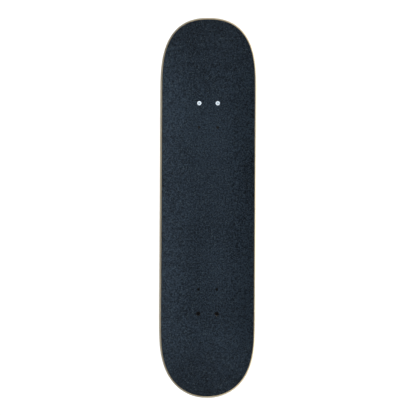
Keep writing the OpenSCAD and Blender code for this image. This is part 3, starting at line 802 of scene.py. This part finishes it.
# %% Lay the tape
BARE_OPENING = BOLT_HEAD_DIAMETER / 2 + 0.04 * MM
TAPE_INSET = EDGE_RADIUS + 0.6 * MM
TAPE_EDGE_RADIUS = 0.25 * MM
COVERED_OPENING = 3.1 * MM
tape = sheet_tree.make("grip_sheet", **MOULD, Inset=TAPE_INSET, Low_side=deck_thickness,
                       High_side=deck_thickness + GRIP_THICKNESS,
                       Edge_radius=TAPE_EDGE_RADIUS,
                       Hole=BARE_OPENING, Inner_hole=COVERED_OPENING / BARE_OPENING,
                       Countersink=BOLT_DIAMETER, Material=grip_finish)
stands_for(tape, "grip_tape")

# %% [markdown]
# ## Bolts and nuts
#
# Bolts and nuts repeat, so each is a Geometry Nodes tree that makes one fastener and copies it to
# its places. A point's index chooses its side and its row. Nobody lines up the recesses of real
# bolts, so each copy is turned a little further than the one before.

# %% Points for a group of fasteners
RIDGE_SHARE = 0.45


def fastener_points(s):
    """Up to four places about a centre, and a turn for each."""
    across, along = s.input("Across"), s.input("Along")
    centre, facing = s.input("Centre", "Vector"), s.input("Facing", "Vector")
    turn = s.input("Turn", "Vector")
    count = s.input("Count", "Int")
    index = s.count()
    x = (s.maths("MODULO", index, 2) * 2 - 1) * across / 2
    y = (s.maths("FLOOR", index / 2) * 2 - 1) * along / 2
    place = s.add("ShaderNodeVectorMath", {"operation": "ADD"}, {0: centre, 1: s.join(x, y, 0)})
    points = s.geometry("Points", {"Count": count, "Position": s.out(place)})
    turned = s.add("ShaderNodeVectorMath", {"operation": "MULTIPLY_ADD"},
                   {0: turn, 1: s.join(index, index, index), 2: facing})
    return points, s.out(turned)


def solid_cone(s, bottom_radius, top_radius, start, depth, corners=48):
    """A cone or cylinder that stands on a height."""
    cone = s.geometry("MeshCone", {"Vertices": corners, "Radius Bottom": bottom_radius,
                                   "Radius Top": top_radius, "Depth": depth})
    return s.transformed(cone, Translation=s.join(0, 0, start))


def thread(s, radius, pitch, start, length):
    """A helical ridge around Z, sunk a little into its shank."""
    turns = s.maths("CEIL", length / pitch)
    spiral = s.geometry("CurveSpiral", {"Resolution": 20, "Rotations": turns, "Height": length,
                                        "Start Radius": radius, "End Radius": radius})
    ridge = s.geometry("CurvePrimitiveCircle", {"Resolution": 3, "Radius": pitch * RIDGE_SHARE},
                       {"mode": "RADIUS"})
    swept = s.geometry("CurveToMesh",
                       {"Curve": spiral, "Profile Curve": ridge, "Fill Caps": True})
    return s.transformed(swept, Translation=s.join(0, 0, start))


print("fastener helpers ready")

# %% [markdown]
# A truck bolt has a countersunk head with a cross recess, a plain neck in the wood and a rolled
# thread below. The recess is cut by two crossed wedges, narrower at the bottom, as the driver
# that fits them is.

# %% Truck bolt tree
NECK_LENGTH = 12 * MM
HEAD_RIM = 0.15 * MM
THREAD_SINK = 0.3
POINT_SHARE = 0.8
RECESS_BOTTOM_RADIUS = 0.4 * MM
RECESS_TOP_RADIUS = 0.9 * MM
RECESS_DEPTH_SHARE = 0.68
RECESS_CUT_SHARE = 0.8
RECESS_ARM = 4.0


def truck_bolt():
    s = Shape("truck_bolt")
    head, depth = s.input("Head diameter"), s.input("Head depth")
    shank, length = s.input("Shank diameter"), s.input("Length")
    pitch, material = s.input("Pitch"), s.input("Material", "Material")
    points, turns = fastener_points(s)
    core = shank / 2 - pitch * THREAD_SINK
    rim_radius = head / 2 - HEAD_RIM
    cone = solid_cone(s, shank / 2, head / 2, -depth, depth)
    chamfer = solid_cone(s, rim_radius + depth, rim_radius, -depth, depth)
    blank = s.boolean("INTERSECT", [cone, chamfer])
    wedge = solid_cone(s, RECESS_BOTTOM_RADIUS, RECESS_TOP_RADIUS, -depth * RECESS_DEPTH_SHARE,
                       depth * RECESS_CUT_SHARE, 4)
    square = s.transformed(wedge, Rotation=(0, 0, math.pi / 4))
    arms = [s.transformed(square, Scale=arm) for arm in ((RECESS_ARM, 1, 1), (1, RECESS_ARM, 1))]
    recessed = s.boolean("DIFFERENCE", arms, blank)
    plain = solid_cone(s, shank / 2, shank / 2, -NECK_LENGTH, NECK_LENGTH - depth)
    rolled_length = length - NECK_LENGTH - pitch
    rolled = solid_cone(s, core, core, -length + pitch, rolled_length)
    tip = solid_cone(s, core * POINT_SHARE, core, -length, pitch)
    ridge = thread(s, core, pitch, -length + pitch, rolled_length)
    bolt = s.joined([recessed, plain, rolled, tip, ridge])
    s.finish(s.copies(points, bolt, Rotation=turns), material)
    return s


bolt_tree = truck_bolt()
BOLT_LENGTH = size_of("tail_bolts").z
BOLT_PITCH = 0.8 * MM
FIRST_BOLT_TURN = 0.35
NEXT_BOLT_TURN = 1.1
BOLT_GROUPS = {"nose_marker_bolts": (2, 0.0, zinc_finish), "nose_bolts": (2, 0.0, black_finish),
               "tail_bolts": (4, bolts_along, black_finish)}
for node_name, (count, along, finish) in BOLT_GROUPS.items():
    # A group of one row has no spacing along the board, so its bolts stay on its middle line.
    centre = middle(node_name)
    bolts = bolt_tree.make(node_name + "_turned", Count=count, Across=bolts_across, Along=along,
                           Centre=(centre.x, centre.y, deck_top), Facing=(0, 0, FIRST_BOLT_TURN),
                           Turn=(0, 0, NEXT_BOLT_TURN), Head_diameter=BOLT_HEAD_DIAMETER,
                           Head_depth=BOLT_HEAD_DEPTH, Shank_diameter=BOLT_DIAMETER,
                           Length=BOLT_LENGTH, Pitch=BOLT_PITCH, Material=finish)
    stands_for(bolts, node_name)

# %% [markdown]
# A lock nut is a hexagon whose corners were turned round on a lathe, with a collar that grips a
# nylon ring. Cutting the hexagon with a cone at each end gives the curved edges that a real nut
# shows on its flats.

# %% Lock nut tree
BODY_SHARE = 0.72
CUT_STEEPNESS = 1.8
CUT_SHARE = 0.49
CUT_PLAY = 0.01 * MM
COLLAR_SHARE = 0.46
CROWN_SHARE = 0.40
COLLAR_SINK = 0.4 * MM
THREAD_PLAY = 0.1 * MM


def lock_nut():
    s = Shape("lock_nut")
    flats, height = s.input("Flats"), s.input("Height")
    bore, material = s.input("Bore"), s.input("Material", "Material")
    points, turns = fastener_points(s)
    corner = flats / 2 / math.cos(math.pi / 6)
    body_height = height * BODY_SHARE
    prism = solid_cone(s, corner, corner, 0, body_height, 6)
    reach = flats / 2 + body_height * CUT_STEEPNESS
    cut_height = body_height + 2 * CUT_PLAY
    low_cut = solid_cone(s, flats * CUT_SHARE, reach, -CUT_PLAY, cut_height)
    high_cut = solid_cone(s, reach, flats * CUT_SHARE, -CUT_PLAY, cut_height)
    body = s.boolean("INTERSECT", [prism, low_cut, high_cut])
    collar_start = body_height - COLLAR_SINK
    collar_radius = flats * COLLAR_SHARE
    collar = solid_cone(s, collar_radius, collar_radius, collar_start, height - collar_start)
    crown = solid_cone(s, flats * CROWN_SHARE + height, flats * CROWN_SHARE, 0, height)
    collar = s.boolean("INTERSECT", [collar, crown])
    drill = solid_cone(s, bore / 2, bore / 2, -height, height * 3)
    nut = s.boolean("DIFFERENCE", drill, s.boolean("UNION", [body, collar]))
    s.finish(s.copies(points, nut, Rotation=turns), material)
    return s


nut_tree = lock_nut()
LOCK_NUT_FLATS = 9.5 * MM
FIRST_NUT_TURN = 0.2
NEXT_NUT_TURN = 0.7
for end in ENDS:
    node_name = f"{end}_lock_nuts"
    _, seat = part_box(node_name)
    nuts = nut_tree.make(node_name + "_turned", Count=4, Across=bolts_across, Along=bolts_along,
                         Centre=(0, truck_y[end], seat.z), Facing=(math.pi, 0, FIRST_NUT_TURN),
                         Turn=(0, 0, NEXT_NUT_TURN), Flats=LOCK_NUT_FLATS,
                         Height=size_of(node_name).z, Bore=BOLT_DIAMETER + THREAD_PLAY,
                         Material=oiled_finish)
    stands_for(nuts, node_name)

# %% [markdown]
# ## Machined and moulded pieces
#
# A real edge is never perfectly sharp: it was broken on a lathe, tumbled or moulded with a small
# radius. A copy of the CAD shape with its doubles merged, its flat faces joined and its sharp
# edges bevelled is enough for washers, rings, axles and the like.

# %% Soften a CAD node's edges
FLAT_ANGLE = math.radians(0.6)
SHARP_ANGLE = 35
BEVEL_SEGMENTS = 2


def meshed(work, name):
    """A mesh from a finished bmesh."""
    mesh = bpy.data.meshes.new(name)
    work.to_mesh(mesh)
    work.free()
    return mesh


def plain_copy(node):
    """A merged copy of a CAD node's mesh, its flat triangles joined into faces."""
    work = bmesh.new()
    work.from_mesh(frame["nodes"][node].data)
    bmesh.ops.remove_doubles(work, verts=work.verts, dist=SAME_PLACE)
    bmesh.ops.dissolve_limit(work, angle_limit=FLAT_ANGLE, verts=work.verts, edges=work.edges)
    return meshed(work, node + "_blank")


def solid(name, mesh, sharp=SHARP_ANGLE):
    """A linked object from a mesh, shaded smooth up to an angle in degrees."""
    mesh.shade_smooth()
    mesh.set_sharp_from_angle(angle=math.radians(sharp))
    return placed(name, mesh)


def baked(piece, sharp=SHARP_ANGLE):
    """The piece with its modifiers applied."""
    evaluated = piece.evaluated_get(bpy.context.evaluated_depsgraph_get())
    mesh = bpy.data.meshes.new_from_object(evaluated)
    name = piece.name
    bpy.data.objects.remove(piece)
    return solid(name, mesh, sharp)


def softened(node, radius):
    """A CAD node's shape with its sharp edges rounded."""
    blank = solid(node + "_soft", plain_copy(node))
    bevel = blank.modifiers.new("edges", "BEVEL")
    bevel.width = radius
    bevel.segments = BEVEL_SEGMENTS
    bevel.limit_method = "ANGLE"
    bevel.angle_limit = math.radians(SHARP_ANGLE)
    stands_for(baked(blank), node)


for end in ENDS:
    for part, radius in (("boardside_washer", 0.3), ("roadside_washer", 0.3), ("kingpin", 0.4),
                         ("pivot_cup", 0.35), ("axle", 0.2), ("speed_washers", 0.15)):
        softened(f"{end}_{part}", radius * MM)
    for side in SIDES:
        for part, radius in (("bearing_outer_rings", 0.2), ("bearing_inner_rings", 0.15),
                             ("bearing_spacer", 0.2)):
            softened(f"{end}_{side}_{part}", radius * MM)
print("softened the machined pieces")

# %% [markdown]
# ## Castings
#
# The hanger and the baseplate are poured or pressed into a mould, so every inside corner has a
# fillet and every outside one is round. A voxel remesh turns the CAD solid into an even skin, and
# a few rounds of smoothing melt its corners without moving the walls noticeably.

# %% Cast a node
VOXEL = 0.85 * MM
HANGER_ROUNDS = 12
BASEPLATE_ROUNDS = 4
CAST_SHARP_ANGLE = 80


def cast(node, rounds):
    """A CAD node's shape with its corners melted by rounds of smoothing."""
    blank = solid(node + "_casting", plain_copy(node))
    remesh = blank.modifiers.new("skin", "REMESH")
    remesh.mode = "VOXEL"
    remesh.voxel_size = VOXEL
    remesh.use_smooth_shade = True
    melt = blank.modifiers.new("melt", "SMOOTH")
    melt.iterations = rounds
    piece = baked(blank, CAST_SHARP_ANGLE)
    print(f"{piece.name}: {len(piece.data.polygons)} faces")
    stands_for(piece, node)


for end in ENDS:
    cast(f"{end}_hanger", HANGER_ROUNDS)
    cast(f"{end}_baseplate", BASEPLATE_ROUNDS)

# %% [markdown]
# ## Bushings
#
# Each kingpin is squeezed between two urethane bushings. Under the nut's load they bulge like
# barrels, and as the board leans they bend: the end on the washer stays with the board, and the
# end in the hanger turns with the truck. So each is turned from a bulged profile in many rings.

# %% Turned shapes
def turned(name, outline, segments=96):
    """A closed outline of (radius, height) points spun about Z."""
    work = bmesh.new()
    rings = []
    for step in range(segments):
        angle = 2 * math.pi * step / segments
        ring = [work.verts.new((r * math.cos(angle), r * math.sin(angle), z)) for r, z in outline]
        rings.append(ring)
    for ring, following in zip(rings, rings[1:] + rings[:1]):
        for i, corner in enumerate(ring):
            j = (i + 1) % len(ring)
            work.faces.new((corner, following[i], following[j], ring[j]))
    bmesh.ops.recalc_face_normals(work, faces=work.faces)
    return meshed(work, name)


def arc(centre_r, centre_z, radius, start, stop, steps=6):
    """Points of an arc, its angles in degrees from the outward direction."""
    angles = [math.radians(start + (stop - start) * i / steps) for i in range(steps + 1)]
    return [(centre_r + radius * math.cos(a), centre_z + radius * math.sin(a)) for a in angles]


def spun_at(mesh, origin, direction):
    """The mesh moved so that its Z axis starts at a point and follows a direction."""
    turn = Vector(direction).to_track_quat("Z", "Y").to_matrix().to_4x4()
    mesh.transform(Matrix.Translation(origin) @ turn)
    return mesh


# %% [markdown]
# The kingpin's line is slanted towards the middle of the board, and each bushing is measured
# along it from its CAD node.

# %% Kingpin line and bushings
KINGPIN_TILT = math.radians(26)
KINGPIN_OFFSET = 6 * MM
INWARD = {"front": -1, "rear": 1}
BUSHING_EDGE = 1.1 * MM
BUSHING_RINGS = 18
BULGE_POWER = 1.2


def kingpin_line(end):
    """Where the kingpin's axis meets the deck, and its direction away from the deck."""
    origin = Vector((0, truck_y[end] + INWARD[end] * KINGPIN_OFFSET, deck_bottom))
    lean = INWARD[end] * math.sin(KINGPIN_TILT)
    return origin, Vector((0, lean, -math.cos(KINGPIN_TILT)))


def measured(node, origin, direction):
    """First and last distance of a node along a line, its outer radius at each, its bore."""
    offsets = [v.co - origin for v in frame["nodes"][node].data.vertices]
    spots = [(o.dot(direction), (o - direction * o.dot(direction)).length) for o in offsets]
    first = min(d for d, _ in spots)
    last = max(d for d, _ in spots)
    reach = [max(r for d, r in spots if abs(d - at) < 5 * SAME_PLACE) for at in (first, last)]
    return first, last, *reach, min(r for _, r in spots)


def bushing(end, part, bulge):
    """A bulged bushing, turned about the kingpin's line."""
    origin, direction = kingpin_line(end)
    node = f"{end}_{part}"
    first, last, radius_first, radius_last, bore = measured(node, origin, direction)
    height = last - first
    edge = BUSHING_EDGE
    shares = [i / BUSHING_RINGS for i in range(BUSHING_RINGS + 1)]
    side = []
    for share in shares:
        z = edge + (height - 2 * edge) * share
        wall = radius_first + (radius_last - radius_first) * z / height
        side.append((wall + bulge * math.sin(math.pi * share) ** BULGE_POWER, z))
    low = arc(side[0][0] - edge, edge, edge, -90, 0)
    high = arc(side[-1][0] - edge, height - edge, edge, 0, 90)
    inside = [(bore, height * (1 - share)) for share in shares]
    mesh = turned(node + "_squeezed", low[:-1] + side + high[1:] + inside)
    piece = solid(node + "_squeezed", spun_at(mesh, origin + direction * first, direction), 60)
    piece.data.materials.append(bushing_finish)
    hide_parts(node)
    washer_end, hanger_end = (last, first) if part == "roadside_bushing" else (first, last)
    tuple(origin + direction * washer_end)
    tuple(origin + direction * hanger_end)
    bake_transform(piece)


for end in ENDS:
    bushing(end, "boardside_bushing", 0.55 * MM)
    bushing(end, "roadside_bushing", 0.45 * MM)
print("squeezed the bushings")

# %% [markdown]
# ## Kingpin nuts and axle nuts
#
# The same nut tree makes the large nut on each kingpin and the two on each axle. An axle's nuts
# face opposite ways, so each copy is turned half a turn from the one before.

# %% Make the larger nuts
KINGPIN_NUT_FLATS = 14.3 * MM
AXLE_NUT_FLATS = 12.7 * MM
KINGPIN_DIAMETER = 9.5 * MM
for end in ENDS:
    origin, direction = kingpin_line(end)
    node_name = f"{end}_kingpin_nut"
    first, last, *_ = measured(node_name, origin, direction)
    facing = direction.to_track_quat("Z", "Y").to_euler()
    nut = nut_tree.make(node_name + "_turned", Count=1, Centre=tuple(origin + direction * first),
                        Across=0.0, Along=0.0, Facing=tuple(facing), Turn=(0, 0, 0),
                        Flats=KINGPIN_NUT_FLATS, Height=last - first,
                        Bore=KINGPIN_DIAMETER + THREAD_PLAY, Material=zinc_finish)
    stands_for(nut, node_name)

    node_name = f"{end}_axle_nuts"
    _, far_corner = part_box(node_name)
    height = far_corner.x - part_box(f"{end}_speed_washers")[1].x
    axle_line = middle(f"{end}_axle")
    nuts = nut_tree.make(node_name + "_turned", Count=2, Across=2 * (far_corner.x - height),
                         Along=0.0, Centre=tuple(axle_line), Facing=(0, -math.pi / 2, 0.0),
                         Turn=(0, math.pi, 0), Flats=AXLE_NUT_FLATS, Height=height,
                         Bore=size_of(f"{end}_axle").z + THREAD_PLAY, Material=zinc_finish)
    stands_for(nuts, node_name)

# %% [markdown]
# ## Wheels
#
# A wheel is poured as one ring of urethane and then turned to size: a flat tread, round lips, a
# dished face and a seat for a bearing on each side. Its tread is marked in the mesh, so that the
# finish can dirty only what rolls on the ground.

# %% Turn the wheels
TREAD_WIDTH = 21 * MM
TREAD_STEPS = 5
SEAT_DEPTH = 0.8 * MM
DISH_RIM = 1.6 * MM
DISH_FLOOR = 1.2 * MM
DISH_STEPS = 8
HUB_WALL = 2.6 * MM
SEAT_EDGE = 0.5 * MM
STOP_WALL = 2.2 * MM
BEARING_WIDTH = 7 * MM
DIRT_FADE = 4 * MM
TREAD_REACH = 0.8


def half_profile(radius, half, bearing_radius, face):
    """From the middle of the tread, over the lip and the dish, to the bearing's stop."""
    lip = half - TREAD_WIDTH / 2
    tread = [(radius, TREAD_WIDTH / 2 * i / TREAD_STEPS) for i in range(1, TREAD_STEPS)]
    shoulder = arc(radius - lip, half - lip, lip, 0, 90, 10)
    dish = radius - lip - DISH_RIM
    hub = bearing_radius + HUB_WALL
    core = face + SEAT_DEPTH
    fall = []
    for i in range(DISH_STEPS + 1):
        share = i / DISH_STEPS
        ease = share * share * (3 - 2 * share)
        fall.append((dish + (hub + DISH_FLOOR - dish) * share, half + (core - half) * ease))
    inner = face - BEARING_WIDTH
    seat = [(hub, core + 0.9 * SEAT_EDGE), (hub - SEAT_EDGE, core + SEAT_EDGE),
            (bearing_radius + 0.8 * SEAT_EDGE, core + SEAT_EDGE), (bearing_radius, core),
            (bearing_radius, inner), (bearing_radius - STOP_WALL, inner)]
    return tread + shoulder + fall + seat


def wheel(corner):
    """A wheel, with the rolling part of its skin marked as tread."""
    node = f"{corner}_wheel"
    radius, half = size_of(node).z / 2, size_of(node).x / 2
    bearings = size_of(f"{corner}_bearing_outer_rings")
    right = half_profile(radius, half, bearings.z / 2, bearings.x / 2)
    left = [(r, -z) for r, z in reversed(right)]
    mesh = turned(node + "_poured", [(radius, 0)] + right + left, 128)
    tread = mesh.attributes.new("tread", "FLOAT", "POINT")
    for vertex in mesh.vertices:
        off = abs(vertex.co.z) - TREAD_WIDTH / 2
        reach = math.hypot(vertex.co.x, vertex.co.y) / radius
        share = max(0.0, min(1.0, 1 - off / DIRT_FADE))
        tread.data[vertex.index].value = share if reach > TREAD_REACH else 0.0
    stands_for(solid(node + "_poured", spun_at(mesh, middle(node), (1, 0, 0)), 40), node)


for corner in CORNERS:
    wheel(corner)
print("poured the wheels")

# %% [markdown]
# ## Bearing shields
#
# A rubber shield is a thin ring with a pressed step near its rim and a lip at its bore. Four close
# the two bearings of a wheel: one outline spun at each face, turned to look outwards.

# %% Press the shields
STEP_SHARE = 0.62
STEP_SLOPE = 0.25 * MM
LIP_FOOT = 0.9 * MM
LIP_WIDTH = 0.55 * MM
PRESSED_SHARE = 0.45


def shield_outline(inner, outer, thickness):
    """A shield's section: its rim, the pressed step and the lip round its bore."""
    step = inner + (outer - inner) * STEP_SHARE
    pressed = thickness * PRESSED_SHARE
    return [(outer, 0), (outer, thickness), (step + STEP_SLOPE, thickness), (step, pressed),
            (inner + LIP_FOOT, pressed), (inner + LIP_WIDTH, thickness), (inner, thickness),
            (inner, 0)]


def shields(corner):
    """The four shields of a wheel's two bearings."""
    node = f"{corner}_bearing_shields"
    mesh = frame["nodes"][node].data
    centre = middle(node)
    planes = sorted({round(v.co.x - centre.x, 6) for v in mesh.vertices})
    reach = [math.hypot(v.co.y - centre.y, v.co.z - centre.z) for v in mesh.vertices]
    thickness = planes[1] - planes[0]
    work = bmesh.new()
    for near, far in zip(planes[::2], planes[1::2]):
        # A shield's face looks out of its bearing: the first and third of the four look to -X.
        outward = -1 if planes.index(near) in (0, 4) else 1
        back = far if outward < 0 else near
        ring = turned(node, shield_outline(min(reach), max(reach), thickness), 72)
        spun_at(ring, centre + Vector((back, 0, 0)), (outward, 0, 0))
        work.from_mesh(ring)
        bpy.data.meshes.remove(ring)
    name = node + "_pressed"
    stands_for(solid(name, meshed(work, name), 40), node)


for corner in CORNERS:
    shields(corner)
print("pressed the shields")

# %% [markdown]
# ## Floor and light
#
# The board stands on pale paper with a glow of its own, so that it stays white under a weak light.
# The key is a large soft panel, low on the board's right: it lifts the concave's left side and
# leaves the right one a little darker. A small panel above the nose is what the bright bolt heads
# mirror.

# %% Light the board
FLOOR_SIZE = 40.0
FLOOR_GLOW = 0.86


def panel(name, place, size, power):
    """A soft square light that faces the middle of the board."""
    data = bpy.data.lights.new(name, "AREA")
    data.size = size
    data.energy = power
    lamp = placed(name, data)
    lamp.location = place
    lamp.rotation_euler = (-Vector(place)).to_track_quat("-Z", "Y").to_euler()


def floor_finish():
    f = Finish("paper_floor", Roughness=0.9, Emission_Color=(1, 1, 1, 1),
               Emission_Strength=FLOOR_GLOW)
    fibres = f.noise(2 * MM, 4, 0.6)
    f.set("Base Color", f.mix(fibres * 0.3, tint(206, 206, 207), tint(200, 200, 202)))
    f.bump(fibres, 0.1 * MM, 0.3)
    return f.material


sweep = bmesh.new()
bmesh.ops.create_grid(sweep, x_segments=4, y_segments=4, size=FLOOR_SIZE / 2)
floor = placed("paper_floor", meshed(sweep, "paper_floor"))
floor.data.materials.append(floor_finish())

panel("key_panel", (2.1, 0.1, 0.78), 1.5, 60)
panel("overhead_panel", (0, 0.95, 3.4), 1.3, 9)
world = bpy.data.worlds.new("pale_room")
world.use_nodes = True
backdrop = world.node_tree.nodes["Background"]
backdrop.inputs["Color"].default_value = (0.93, 0.96, 1.0, 1)
backdrop.inputs["Strength"].default_value = 0.14
bpy.context.scene.world = world
print("lit by", len(bpy.data.lights), "panels")
